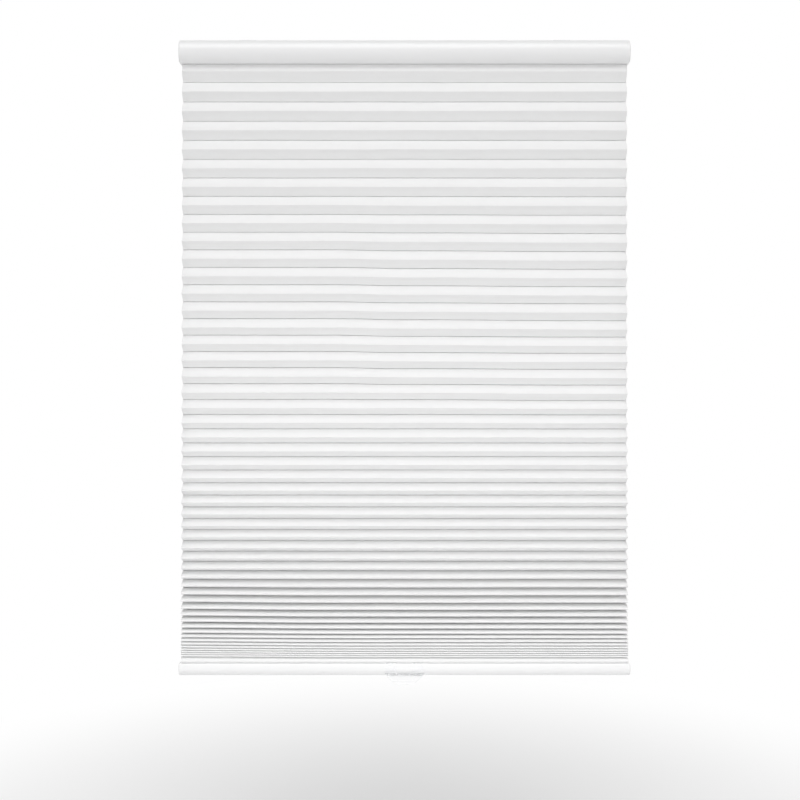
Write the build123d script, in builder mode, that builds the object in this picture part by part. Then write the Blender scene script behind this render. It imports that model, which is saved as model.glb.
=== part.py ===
from build123d import *

import math
import os

os.makedirs("parts", exist_ok=True)

# A cordless pleated blind with honeycomb fabric, part way down.
# X runs along the rails, -Y faces the room, and Z = 0 is the ceiling that it hangs from.

# Overall width and the two rails
blind_width = 686.0
cap_thickness = 3.2
plug_depth = 9.0
plug_wall = 1.6
plug_gap = 0.12
cap_chamfer = 1.2

# Head rail, an extrusion with a rounded front and an open top
head_hang = 1.5
head_height = 34.6
head_wall = 1.2
head_floor = 1.0
head_back = 23.0
head_front = 23.0
head_front_top = 14.0
head_front_bottom = 16.0
top_gap_half = 10.0
head_corner = 1.5

# Channel of the fabric strip, the same in both rails
channel_half = 12.5
channel_height = 3.5
slot_half = 7.5
strip_half = 11.0
strip_thickness = 1.5
strip_gap = 0.05
strip_end_gap = 4.0
strip_corner = 1.0

# Bottom rail
bottom_height = 18.2
bottom_wall = 1.2
bottom_floor = 1.0
bottom_front = 21.0
bottom_front_top = 18.5
bottom_front_bottom = 17.0
bottom_corner = 1.5
ballast_width = 16.0
ballast_thickness = 3.0
ballast_end_gap = 30.0
ballast_edge = 0.5

# Honeycomb fabric: each cell is two wings in front, two behind, and glue strips between
fabric_side_gap = 3.5
fabric_thickness = 0.5
cell_count = 51
wing = 17.5
glue_half = 3.0
fold_sag = 1.2
fold_sag_share = 0.3
pitch_packed = 2.4
pitch_spread = 31.5
spread_cells = 30.0
spread_power = 1.46
first_drop = 26.8
last_drop = 7.8
last_fold_drop = 5.1
neck_gap = 0.5

# Lift cords and their holes
cord_radius = 0.5
cord_inset = 128.0
cord_hole_radius = 1.6
knot_radius = 1.4

# Spring lift unit: four stations in a row along the head rail
station_spacing = 30.3
unit_y = 2.5
tray_thickness = 1.6
tray_half_width = 18.0
tray_end = 19.0
post_radius = 3.0
post_offset = 14.5
post_end = 15.0
cover_thickness = 1.6
pin_radius = 2.5
pin_gap = 0.06
deck_gap = 0.3
gear_teeth = 20
gear_module = 1.5
gear_thickness = 3.8
gear_backlash = 0.15
root_share = 1.25
pressure_angle = 20.0
flange_radius = 13.0
flange_thickness = 1.2
spool_radius = 9.5
drum_radius = 6.5
winding_height = 13.0
winding_gap = 0.05
turns_thickness = 1.3
spring_gap = 0.3
spring_height = 12.0
spring_strip = 0.3
output_coil = 5.8
storage_coil = 1.9
screw_radius = 1.1
screw_head_radius = 2.5
screw_head_height = 1.6
screw_head_taper = 20.0
screw_length = 9.0
screw_gap = 0.05

# Cord guides and their pulleys
pulley_groove = 4.95
pulley_rim = 7.0
pulley_half_width = 2.6
pulley_floor_gap = 1.3
groove_half_width = 0.8
pulley_bore_gap = 0.05
pulley_pin_radius = 1.5
pulley_pin_head = 2.4
pulley_pin_head_height = 1.0
cheek_gap = 0.3
cheek_thickness = 2.0
cheek_margin = 4.0
guide_base = 1.5
guide_half_width = 13.0
guide_inner = 20.0
guide_outer = 12.0
eyelet_wall = 2.5
eyelet_radius = 1.0
eyelet_bend = 40.0

# Cord anchors under the channel floor of the bottom rail
anchor_radius = 5.0
anchor_height = 5.5
anchor_neck = 2.5
anchor_bore_gap = 0.1

# Ceiling brackets
bracket_inset = 103.0
bracket_length = 26.0
bracket_sheet = 1.2
bracket_edge_gap = 0.4
bracket_hook = 3.0
latch_length = 14.0
latch_drop = 6.0
bracket_hole_radius = 2.0
bracket_hole_pitch = 10.0

# Clear handle, clipped round the front of the bottom rail
handle_half_width = 30.0
handle_wall = 1.6
handle_gap = 0.06
handle_top_grip = 2.6
handle_bottom_grip = 12.0
arm_width = 16.0
arm_inset = 1.7
body_top = 9.6
body_straight = 5.5
notch_half = 9.7
notch_half_top = 12.3
notch_depth = 2.8
lip_drop = 11.0
lip_forward = 7.0
lip_bow = 2.3
lip_half_width = 10.5
lip_shoulder = 22.0
lip_shoulder_drop = 4.0

# Levels and lengths that follow from the sizes above
rail_length = blind_width - 2 * cap_thickness
across = 4 * head_back
cord_x = blind_width / 2 - cord_inset
bracket_x = blind_width / 2 - bracket_inset
fabric_width = blind_width - 2 * fabric_side_gap
head_top = -head_hang
head_bottom = head_top - head_height
head_middle = (head_top + head_bottom) / 2
channel_roof = head_bottom + head_wall + channel_height
floor_top = channel_roof + head_floor
turns_inner = spool_radius + winding_gap
wind_radius = turns_inner + turns_thickness / 2
tray_top = floor_top + tray_thickness
gear_bottom = tray_top + deck_gap
gear_top = gear_bottom + gear_thickness
winding_bottom = gear_top + flange_thickness
winding_top = winding_bottom + winding_height
drum_top = winding_top + flange_thickness
cover_bottom = drum_top + deck_gap
cover_top = cover_bottom + cover_thickness
stations = [(index - 1.5) * station_spacing for index in range(4)]
wrap_radius = pulley_groove + winding_gap + cord_radius
pulley_x = cord_x - wrap_radius
guide_top = floor_top + guide_base
pulley_z = guide_top + pulley_floor_gap + pulley_rim
run_z = pulley_z + wrap_radius


def cell_pitch(cells_below):
    """Height of a cell: the weight of the cells below it pulls it open."""
    opening = 1 - math.exp(-((cells_below / spread_cells) ** spread_power))
    return pitch_packed + pitch_spread * opening


def fold_reach(height):
    """Distance of a front fold from the middle plane, for a cell of this height."""
    return glue_half + math.sqrt(wing ** 2 - (height / 2) ** 2)


# Glue lines of the fabric from the top down, and the level of the bottom rail
glue_z = [head_bottom - first_drop]
for below in range(cell_count - 2, 0, -1):
    glue_z.append(glue_z[-1] - cell_pitch(below))
bottom_top = glue_z[-1] - last_drop
bottom_bottom = bottom_top - bottom_height
bottom_middle = (bottom_top + bottom_bottom) / 2
channel_floor = bottom_top - bottom_wall - channel_height
chamber_top = channel_floor - bottom_floor
anchor_bottom = chamber_top - anchor_height

# Half sizes of the hem that wraps each strip
hem_half = strip_half + strip_gap + fabric_thickness
hem_height = strip_thickness + 2 * strip_gap + 2 * fabric_thickness
neck_half = slot_half - neck_gap
head_hem_bottom = head_bottom + head_wall
bottom_hem_top = bottom_top - bottom_wall


# Head rail
with BuildSketch() as head_outline:
    with BuildLine():
        Polyline(
            (-head_front_top, head_top),
            (head_back, head_top),
            (head_back, head_bottom),
            (-head_front_bottom, head_bottom),
        )
        ThreePointArc(
            (-head_front_bottom, head_bottom), (-head_front, head_middle), (-head_front_top, head_top)
        )
    make_face()
    fillet(head_outline.vertices().group_by(Axis.X)[-1], radius=head_corner)

with BuildSketch() as head_bay:
    offset(head_outline.sketch, amount=-head_wall)
    with Locations((0, floor_top)):
        Rectangle(across, head_height, align=(Align.CENTER, Align.MIN), mode=Mode.INTERSECT)

with BuildPart() as head_rail:
    with BuildSketch(Plane.YZ.offset(-rail_length / 2)):
        add(head_outline.sketch)
        add(head_bay.sketch, mode=Mode.SUBTRACT)
        with Locations((0, head_top)):
            Rectangle(2 * top_gap_half, 2 * head_wall, mode=Mode.SUBTRACT)
        with Locations((0, channel_roof)):
            Rectangle(
                2 * channel_half, channel_height, align=(Align.CENTER, Align.MAX), mode=Mode.SUBTRACT
            )
        with Locations((0, head_bottom)):
            Rectangle(
                2 * slot_half, head_wall, align=(Align.CENTER, Align.MIN), mode=Mode.SUBTRACT
            )
        with Locations((channel_half + head_wall, head_bottom + head_wall)):
            Rectangle(
                head_back - channel_half - 2 * head_wall,
                channel_height,
                align=(Align.MIN, Align.MIN),
                mode=Mode.SUBTRACT,
            )
    extrude(amount=rail_length)
    with BuildSketch(Plane.XY.offset(floor_top)):
        with Locations((-cord_x, 0), (cord_x, 0)):
            Circle(cord_hole_radius)
    extrude(amount=-head_floor, mode=Mode.SUBTRACT)
head_rail.part.label = "head_rail"
export_step(head_rail.part, "parts/head_rail.step")

# Bottom rail, rounded alike in front and behind
with BuildSketch() as bottom_outline:
    with BuildLine():
        Line((-bottom_front_top, bottom_top), (bottom_front_top, bottom_top))
        ThreePointArc(
            (bottom_front_top, bottom_top),
            (bottom_front, bottom_middle),
            (bottom_front_bottom, bottom_bottom),
        )
        Line((bottom_front_bottom, bottom_bottom), (-bottom_front_bottom, bottom_bottom))
        ThreePointArc(
            (-bottom_front_bottom, bottom_bottom),
            (-bottom_front, bottom_middle),
            (-bottom_front_top, bottom_top),
        )
    make_face()
    fillet(bottom_outline.vertices(), radius=bottom_corner)

with BuildSketch() as bottom_chamber:
    offset(bottom_outline.sketch, amount=-bottom_wall)
    with Locations((0, chamber_top)):
        Rectangle(across, bottom_height, align=(Align.CENTER, Align.MAX), mode=Mode.INTERSECT)

with BuildPart() as bottom_rail:
    with BuildSketch(Plane.YZ.offset(-rail_length / 2)):
        add(bottom_outline.sketch)
        add(bottom_chamber.sketch, mode=Mode.SUBTRACT)
        with Locations((0, channel_floor)):
            Rectangle(
                2 * channel_half, channel_height, align=(Align.CENTER, Align.MIN), mode=Mode.SUBTRACT
            )
        with Locations((0, bottom_top)):
            Rectangle(
                2 * slot_half, bottom_wall, align=(Align.CENTER, Align.MAX), mode=Mode.SUBTRACT
            )
    extrude(amount=rail_length)
    with BuildSketch(Plane.XY.offset(channel_floor)):
        with Locations((-cord_x, 0), (cord_x, 0)):
            Circle(cord_hole_radius)
    extrude(amount=-bottom_floor, mode=Mode.SUBTRACT)
bottom_rail.part.label = "bottom_rail"
export_step(bottom_rail.part, "parts/bottom_rail.step")


def end_cap(side, outline, bay):
    """Cap plate over the end of a rail, with a hollow plug that fits inside the rail."""
    with BuildPart() as cap:
        with BuildSketch(Plane.YZ.offset(side * rail_length / 2)):
            add(outline.sketch)
        extrude(amount=side * cap_thickness)
        outer_face = cap.faces().sort_by(Axis.X)[0 if side < 0 else -1]
        chamfer(outer_face.edges(), length=cap_chamfer)
        with BuildSketch(Plane.YZ.offset(side * rail_length / 2)):
            offset(bay.sketch, amount=-plug_gap)
            offset(bay.sketch, amount=-plug_gap - plug_wall, mode=Mode.SUBTRACT)
        extrude(amount=-side * plug_depth)
    return cap.part


for side, name in ((-1, "left"), (1, "right")):
    head_cap = end_cap(side, head_outline, head_bay)
    head_cap.label = f"head_end_cap_{name}"
    export_step(head_cap, f"parts/head_end_cap_{name}.step")
    bottom_cap = end_cap(side, bottom_outline, bottom_chamber)
    bottom_cap.label = f"bottom_end_cap_{name}"
    export_step(bottom_cap, f"parts/bottom_end_cap_{name}.step")


# Fabric: outline of all cells in the Y-Z plane, each cell hollowed by the fabric's thickness
def cell_outline(top_z, low_z):
    """Six corners of a hanging cell between two glue lines."""
    height = top_z - low_z
    reach = fold_reach(height)
    fold_z = (top_z + low_z) / 2 - min(fold_sag, fold_sag_share * height / 2)
    return [
        (glue_half, top_z),
        (reach, fold_z),
        (glue_half, low_z),
        (-glue_half, low_z),
        (-reach, fold_z),
        (-glue_half, top_z),
    ]


def hem_outline(strip_z, out_z, neck_z, fold_z, reach, glue_level):
    """Cell at a rail: a flat hem round the strip, a neck through the slot, then the fold."""
    side_points = [
        (hem_half, out_z),
        (hem_half, strip_z),
        (neck_half, strip_z),
        (neck_half, neck_z),
        (reach, fold_z),
        (glue_half, glue_level),
    ]
    return side_points + [(-y, z) for y, z in reversed(side_points)]


top_fold_z = glue_z[0] + cell_pitch(cell_count - 1) / 2
top_reach = fold_reach(cell_pitch(cell_count - 1))
last_fold_z = glue_z[-1] - last_fold_drop
last_reach = fold_reach(2 * last_fold_drop)
cells = [
    hem_outline(
        head_hem_bottom, head_hem_bottom + hem_height, head_bottom, top_fold_z, top_reach, glue_z[0]
    )
]
for upper, lower in zip(glue_z[:-1], glue_z[1:]):
    cells.append(cell_outline(upper, lower))
cells.append(
    hem_outline(
        bottom_hem_top, bottom_hem_top - hem_height, bottom_top, last_fold_z, last_reach, glue_z[-1]
    )
)


def hollow(corners):
    """Empty space inside a cell, one fabric thickness in from its outline."""
    with BuildSketch() as space:
        with BuildLine():
            Polyline(*corners, close=True)
        make_face()
        offset(amount=-fabric_thickness, kind=Kind.INTERSECTION, mode=Mode.REPLACE)
    return space.sketch


with BuildPart() as fabric:
    with BuildSketch(Plane.YZ.offset(-fabric_width / 2)):
        for corners in cells:
            with BuildLine():
                Polyline(*corners, close=True)
            make_face()
        for corners in cells:
            add(hollow(corners), mode=Mode.SUBTRACT)
    extrude(amount=fabric_width)
    with BuildSketch(Plane.XY.offset(head_top)):
        with Locations((-cord_x, 0), (cord_x, 0)):
            RegularPolygon(radius=cord_hole_radius, side_count=6)
    extrude(amount=bottom_bottom - head_top, mode=Mode.SUBTRACT)
fabric.part.label = "fabric"
export_step(fabric.part, "parts/fabric.step")


def fabric_strip(low_z):
    """Flat strip inside a hem, with the cord holes through it."""
    with BuildPart() as strip:
        with BuildSketch(Plane.XY.offset(low_z)):
            RectangleRounded(fabric_width - 2 * strip_end_gap, 2 * strip_half, radius=strip_corner)
            with Locations((-cord_x, 0), (cord_x, 0)):
                Circle(cord_hole_radius, mode=Mode.SUBTRACT)
        extrude(amount=strip_thickness)
    return strip.part


top_strip = fabric_strip(head_hem_bottom + fabric_thickness + strip_gap)
top_strip.label = "fabric_top_strip"
export_step(top_strip, "parts/fabric_top_strip.step")
bottom_strip = fabric_strip(bottom_hem_top - fabric_thickness - strip_gap - strip_thickness)
bottom_strip.label = "fabric_bottom_strip"
export_step(bottom_strip, "parts/fabric_bottom_strip.step")


# Spring lift unit
def involute_angle(radius):
    """Involute function of the pressure angle at this radius, in radians."""
    base_radius = gear_teeth * gear_module / 2 * math.cos(math.radians(pressure_angle))
    angle = math.acos(min(1.0, base_radius / radius))
    return math.tan(angle) - angle


def gear_points(phase):
    """Corners of all teeth, with involute flanks drawn from root to pitch circle to tip."""
    pitch_radius = gear_teeth * gear_module / 2
    root_radius = pitch_radius - root_share * gear_module
    tip_radius = pitch_radius + gear_module
    half_tooth = (math.pi * gear_module / 2 - gear_backlash) / (2 * pitch_radius)
    points = []
    for tooth in range(gear_teeth):
        middle = math.radians(phase) + 2 * math.pi * tooth / gear_teeth
        flank = []
        for radius in (root_radius, pitch_radius, tip_radius):
            spread = half_tooth + involute_angle(pitch_radius) - involute_angle(radius)
            flank.append((radius, spread))
        for radius, spread in flank:
            points.append((radius * math.cos(middle - spread), radius * math.sin(middle - spread)))
        for radius, spread in reversed(flank):
            points.append((radius * math.cos(middle + spread), radius * math.sin(middle + spread)))
    return points


def gear(x, phase):
    """Spur gear at the foot of a station, bored for its pin."""
    with BuildPart() as wheel:
        with BuildSketch(Plane(origin=(x, unit_y, gear_bottom))):
            with BuildLine():
                Polyline(*gear_points(phase), close=True)
            make_face()
            Circle(pin_radius + pin_gap, mode=Mode.SUBTRACT)
        extrude(amount=gear_thickness)
    return wheel.part


def drum(x, barrel_radius, foot_z):
    """Barrel between two flanges, from foot_z up to the top of the unit."""
    with BuildPart() as body:
        for level, radius, height in (
            (foot_z, flange_radius, winding_bottom - foot_z),
            (winding_bottom, barrel_radius, winding_height),
            (winding_top, flange_radius, flange_thickness),
        ):
            with BuildSketch(Plane.XY.offset(level)):
                with Locations((x, unit_y)):
                    Circle(radius)
                    Circle(pin_radius + pin_gap, mode=Mode.SUBTRACT)
            extrude(amount=height)
    return body.part


half_tooth_turn = 180.0 / gear_teeth
geared_drums = (
    ("spool_left", stations[0], 0.0, spool_radius),
    ("output_drum", stations[1], half_tooth_turn, drum_radius),
    ("spool_right", stations[3], half_tooth_turn, spool_radius),
)
for name, station_x, phase, barrel_radius in geared_drums:
    with BuildPart() as geared_drum:
        add(gear(station_x, phase))
        add(drum(station_x, barrel_radius, gear_top))
    geared_drum.part.label = name
    export_step(geared_drum.part, f"parts/{name}.step")

idler_gear = gear(stations[2], 0.0)
idler_gear.label = "idler_gear"
export_step(idler_gear, "parts/idler_gear.step")

storage_drum = drum(stations[2], drum_radius, gear_top + deck_gap)
storage_drum.label = "storage_drum"
export_step(storage_drum, "parts/storage_drum.step")

# Power spring: a coil round each drum and the strip that crosses over between them
output_turns = drum_radius + spring_gap + output_coil
storage_turns = drum_radius + spring_gap + storage_coil
cross_angle = math.degrees(math.acos((output_turns + storage_turns - spring_strip) / station_spacing))
output_centre = Vector(stations[1], unit_y)
storage_centre = Vector(stations[2], unit_y)
strip_direction = Vector(1, 0).rotate(Axis.Z, cross_angle)
strip_start = output_centre + strip_direction * (output_turns - spring_strip / 2)
strip_end = storage_centre - strip_direction * (storage_turns - spring_strip / 2)

with BuildPart() as power_spring:
    with BuildSketch(Plane.XY.offset(winding_bottom + (winding_height - spring_height) / 2)):
        with Locations(output_centre):
            Circle(output_turns)
            Circle(drum_radius + spring_gap, mode=Mode.SUBTRACT)
        with Locations(storage_centre):
            Circle(storage_turns)
            Circle(drum_radius + spring_gap, mode=Mode.SUBTRACT)
        with BuildLine():
            Line(strip_start, strip_end)
        trace(line_width=spring_strip)
    extrude(amount=spring_height)
power_spring.part.label = "power_spring"
export_step(power_spring.part, "parts/power_spring.step")

# Tray and cover of the unit, with a pin at each station and posts for the cover
unit_half_length = stations[3] + tray_end
post_x = stations[3] + post_end
corner_posts = [
    (x, unit_y + y) for x in (-post_x, post_x) for y in (-post_offset, post_offset)
]
middle_posts = [(0, unit_y - post_offset), (0, unit_y + post_offset)]
pin_spots = [(x, unit_y) for x in stations]

with BuildPart() as lift_tray:
    with BuildSketch(Plane.XY.offset(floor_top)):
        with Locations((0, unit_y)):
            RectangleRounded(2 * unit_half_length, 2 * tray_half_width, radius=post_radius)
    extrude(amount=tray_thickness)
    with BuildSketch(Plane.XY.offset(tray_top)):
        with Locations(*corner_posts, *middle_posts):
            Circle(post_radius)
    extrude(amount=cover_bottom - tray_top)
    with BuildSketch(Plane.XY.offset(tray_top)):
        with Locations(*pin_spots):
            Circle(pin_radius)
    extrude(amount=cover_top - tray_top)
    with BuildSketch(Plane.XY.offset(cover_bottom)):
        with Locations(*corner_posts):
            Circle(screw_radius + screw_gap)
    extrude(amount=-screw_length, mode=Mode.SUBTRACT)
lift_tray.part.label = "lift_tray"
export_step(lift_tray.part, "parts/lift_tray.step")

with BuildPart() as lift_cover:
    with BuildSketch(Plane.XY.offset(cover_bottom)):
        with Locations((0, unit_y)):
            RectangleRounded(2 * unit_half_length, 2 * tray_half_width, radius=post_radius)
        with Locations(*pin_spots):
            Circle(pin_radius + pin_gap, mode=Mode.SUBTRACT)
        with Locations(*corner_posts):
            Circle(screw_radius + screw_gap, mode=Mode.SUBTRACT)
    extrude(amount=cover_thickness)
lift_cover.part.label = "lift_cover"
export_step(lift_cover.part, "parts/lift_cover.step")

with BuildPart() as cover_screws:
    with BuildSketch(Plane.XY.offset(cover_top)):
        with Locations(*corner_posts):
            Circle(screw_radius)
    extrude(amount=cover_thickness - screw_length)
    with BuildSketch(Plane.XY.offset(cover_top)):
        with Locations(*corner_posts):
            Circle(screw_head_radius)
    extrude(amount=screw_head_height, taper=screw_head_taper)
cover_screws.part.label = "cover_screws"
export_step(cover_screws.part, "parts/cover_screws.step")


# Cord guides: a base with a hole for the cord, two cheeks for the pulley and an eyelet wall
def cord_guide(side):
    """Guide on the head rail floor where the cord turns down into the fabric."""
    inner_end = cord_x - guide_inner - wrap_radius
    outer_end = cord_x + guide_outer
    with BuildPart() as guide:
        with BuildSketch(Plane.XY.offset(floor_top)):
            with Locations((side * (inner_end + outer_end) / 2, 0)):
                RectangleRounded(outer_end - inner_end, 2 * guide_half_width, radius=post_radius)
            with Locations((side * cord_x, 0)):
                Circle(cord_hole_radius, mode=Mode.SUBTRACT)
        extrude(amount=guide_base)
        for cheek in (-1, 1):
            inner_face = cheek * (pulley_half_width + cheek_gap)
            with BuildSketch(Plane.XZ.offset(-inner_face)):
                with Locations((side * pulley_x, pulley_z)):
                    Circle(cheek_margin)
                with Locations((side * pulley_x, pulley_z)):
                    Rectangle(
                        2 * cheek_margin, pulley_z - guide_top, align=(Align.CENTER, Align.MAX)
                    )
                with Locations((side * pulley_x, pulley_z)):
                    Circle(pulley_pin_radius, mode=Mode.SUBTRACT)
            extrude(amount=-cheek * cheek_thickness)
        with BuildSketch(Plane.YZ.offset(side * inner_end)):
            with Locations((0, guide_top)):
                Rectangle(
                    2 * (pulley_half_width + cheek_gap + cheek_thickness),
                    run_z + cheek_margin - guide_top,
                    align=(Align.CENTER, Align.MIN),
                )
            with Locations((0, run_z)):
                Circle(eyelet_radius, mode=Mode.SUBTRACT)
        extrude(amount=side * eyelet_wall)
    return guide.part


def guide_pulley(side):
    """Grooved pulley that runs on a pin across the guide."""
    bore = pulley_pin_radius + pulley_bore_gap
    centre = Plane(origin=(side * pulley_x, 0, pulley_z), x_dir=(1, 0, 0), z_dir=(0, 0, 1))
    with BuildPart() as pulley:
        with BuildSketch(centre):
            with BuildLine():
                Polyline(
                    (bore, -pulley_half_width),
                    (pulley_rim, -pulley_half_width),
                    (pulley_groove, -groove_half_width),
                    (pulley_groove, groove_half_width),
                    (pulley_rim, pulley_half_width),
                    (bore, pulley_half_width),
                    close=True,
                )
            make_face()
        revolve(axis=Axis((side * pulley_x, 0, pulley_z), (0, 1, 0)))
    return pulley.part


def pulley_pin(side):
    """Plain pin with a head in front, through both cheeks."""
    length = pulley_half_width + cheek_gap + cheek_thickness
    with BuildPart() as pin:
        with BuildSketch(Plane.XZ.offset(-length)):
            with Locations((side * pulley_x, pulley_z)):
                Circle(pulley_pin_radius)
        extrude(amount=2 * length)
        with BuildSketch(Plane.XZ.offset(length)):
            with Locations((side * pulley_x, pulley_z)):
                Circle(pulley_pin_head)
        extrude(amount=pulley_pin_head_height)
    return pin.part


def lift_cord(side):
    """Cord from its turns on the spool, through the eyelet and over the pulley to its knot."""
    centre = Vector(stations[3], unit_y)
    eyelet_x = cord_x - guide_inner - wrap_radius + eyelet_wall / 2
    run = Vector(eyelet_x, 0) - centre
    tangent_turn = math.degrees(math.atan2(run.Y, run.X) - math.acos(wind_radius / run.length))
    leave = centre + Vector(wind_radius, 0).rotate(Axis.Z, tangent_turn)
    start = (side * leave.X, leave.Y, run_z)
    eyelet = (side * eyelet_x, 0, run_z)
    over_pulley = (side * cord_x, 0, run_z)
    knot = (side * cord_x, 0, anchor_bottom + anchor_height - anchor_neck - knot_radius)
    with BuildPart() as cord:
        with BuildLine() as route:
            FilletPolyline(start, eyelet, over_pulley, knot, radius=[eyelet_bend, wrap_radius])
        with BuildSketch(Plane(origin=route.line @ 0, z_dir=route.line % 0)):
            Circle(cord_radius)
        sweep()
        with BuildSketch(Plane.XY.offset(winding_bottom)):
            with Locations((side * stations[3], unit_y)):
                Circle(turns_inner + turns_thickness)
                Circle(turns_inner, mode=Mode.SUBTRACT)
        extrude(amount=run_z + turns_thickness / 2 - winding_bottom)
        with Locations(knot):
            Sphere(knot_radius)
    cord_length = sum(edge.length for edge in route.edges())
    print("cord length", round(cord_length, 1), "bends", eyelet_bend, round(wrap_radius, 2))
    return cord.part


def cord_anchor(side):
    """Round button under the channel floor: the cord passes its neck and is knotted below."""
    with BuildPart() as anchor:
        with BuildSketch(Plane.XY.offset(chamber_top)):
            with Locations((side * cord_x, 0)):
                Circle(anchor_radius)
                Circle(cord_radius + anchor_bore_gap, mode=Mode.SUBTRACT)
        extrude(amount=-anchor_neck)
        with BuildSketch(Plane.XY.offset(chamber_top - anchor_neck)):
            with Locations((side * cord_x, 0)):
                Circle(anchor_radius)
                Circle(anchor_radius - plug_wall, mode=Mode.SUBTRACT)
        extrude(amount=anchor_neck - anchor_height)
    return anchor.part


# Ceiling brackets: a sheet strip with a hook under each lip of the head rail, the rear one a latch
def bracket(side):
    """Bent bracket, screwed to the ceiling through two holes."""
    back_edge = top_gap_half - bracket_edge_gap
    front_edge = -back_edge
    hook_top = head_top - head_wall
    hook_low = hook_top - bracket_sheet
    with BuildPart() as strip:
        with BuildSketch(Plane.YZ.offset(side * bracket_x - bracket_length / 2)):
            with BuildLine():
                Polyline(
                    (front_edge, 0),
                    (back_edge - bracket_sheet, 0),
                    (back_edge - bracket_sheet, -bracket_sheet),
                    (front_edge + bracket_sheet, -bracket_sheet),
                    (front_edge + bracket_sheet, hook_low),
                    (front_edge - bracket_hook, hook_low),
                    (front_edge - bracket_hook, hook_top),
                    (front_edge, hook_top),
                    close=True,
                )
            make_face()
        extrude(amount=bracket_length)
        with BuildSketch(Plane.YZ.offset(side * bracket_x - latch_length / 2)):
            with BuildLine():
                Polyline(
                    (back_edge - bracket_sheet, 0),
                    (back_edge, 0),
                    (back_edge, hook_top),
                    (back_edge + bracket_hook, hook_top),
                    (back_edge, hook_top - bracket_hook),
                    (back_edge, hook_top - latch_drop),
                    (back_edge - bracket_sheet, hook_top - latch_drop),
                    close=True,
                )
            make_face()
        extrude(amount=latch_length)
        with BuildSketch(Plane.XY):
            with Locations((side * bracket_x, 0)):
                with Locations((0, -bracket_hole_pitch / 2), (0, bracket_hole_pitch / 2)):
                    Circle(bracket_hole_radius)
        extrude(amount=-bracket_sheet, mode=Mode.SUBTRACT)
    return strip.part


for side, name in ((-1, "left"), (1, "right")):
    pieces = (
        ("cord_guide", cord_guide(side)),
        ("guide_pulley", guide_pulley(side)),
        ("pulley_pin", pulley_pin(side)),
        ("lift_cord", lift_cord(side)),
        ("cord_anchor", cord_anchor(side)),
        ("bracket", bracket(side)),
    )
    for kind, piece in pieces:
        piece.label = f"{kind}_{name}"
        export_step(piece, f"parts/{kind}_{name}.step")

# Ballast bar on the floor of the bottom rail
with BuildPart() as ballast_bar:
    with BuildSketch(Plane.XY.offset(bottom_bottom + bottom_wall)):
        Rectangle(rail_length - 2 * ballast_end_gap, ballast_width)
    extrude(amount=ballast_thickness)
    chamfer(ballast_bar.edges().filter_by(Axis.X), length=ballast_edge)
ballast_bar.part.label = "ballast_bar"
export_step(ballast_bar.part, "parts/ballast_bar.step")

# Handle: a clip wall round the front of the bottom rail, with a curved lip below to pull on
lip_root = bottom_middle - handle_wall
lip_tip = bottom_bottom - lip_drop
lip_y = -bottom_front - handle_gap - handle_wall / 2

with BuildPart() as handle:
    with BuildSketch(Plane.YZ.offset(-handle_half_width)):
        offset(bottom_outline.sketch, amount=handle_gap + handle_wall)
        offset(bottom_outline.sketch, amount=handle_gap, mode=Mode.SUBTRACT)
        with Locations((-bottom_front_top + handle_top_grip, bottom_middle)):
            Rectangle(across, across, align=(Align.MIN, Align.MIN), mode=Mode.SUBTRACT)
        with Locations((-bottom_front_bottom + handle_bottom_grip, bottom_middle)):
            Rectangle(across, across, align=(Align.MIN, Align.MAX), mode=Mode.SUBTRACT)
        with BuildLine():
            ThreePointArc(
                (lip_y, lip_root),
                (lip_y - lip_bow, (lip_root + lip_tip) / 2),
                (lip_y - lip_forward, lip_tip),
            )
        trace(line_width=handle_wall)
    extrude(amount=2 * handle_half_width)
    with BuildSketch(Plane.XZ.offset(-across / 2)):
        with BuildLine():
            Polyline(
                (-handle_half_width, bottom_top - body_top),
                (-handle_half_width, bottom_top - body_top - body_straight),
                (-lip_shoulder, bottom_bottom - lip_shoulder_drop),
                (-lip_half_width, lip_tip - handle_wall),
                (lip_half_width, lip_tip - handle_wall),
                (lip_shoulder, bottom_bottom - lip_shoulder_drop),
                (handle_half_width, bottom_top - body_top - body_straight),
                (handle_half_width, bottom_top - body_top),
                (notch_half_top, bottom_top - body_top),
                (notch_half, bottom_top - body_top - notch_depth),
                (-notch_half, bottom_top - body_top - notch_depth),
                (-notch_half_top, bottom_top - body_top),
                close=True,
            )
        make_face()
        for side in (-1, 1):
            arm_x = side * (handle_half_width - arm_inset - arm_width / 2)
            with Locations((arm_x, bottom_top - body_top)):
                Rectangle(arm_width, body_top + bottom_height, align=(Align.CENTER, Align.MIN))
    extrude(amount=across, mode=Mode.INTERSECT)
handle.part.label = "handle"
export_step(handle.part, "parts/handle.step")
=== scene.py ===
import math

import bpy
import numpy as np
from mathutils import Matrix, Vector
from mathutils import noise


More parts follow.
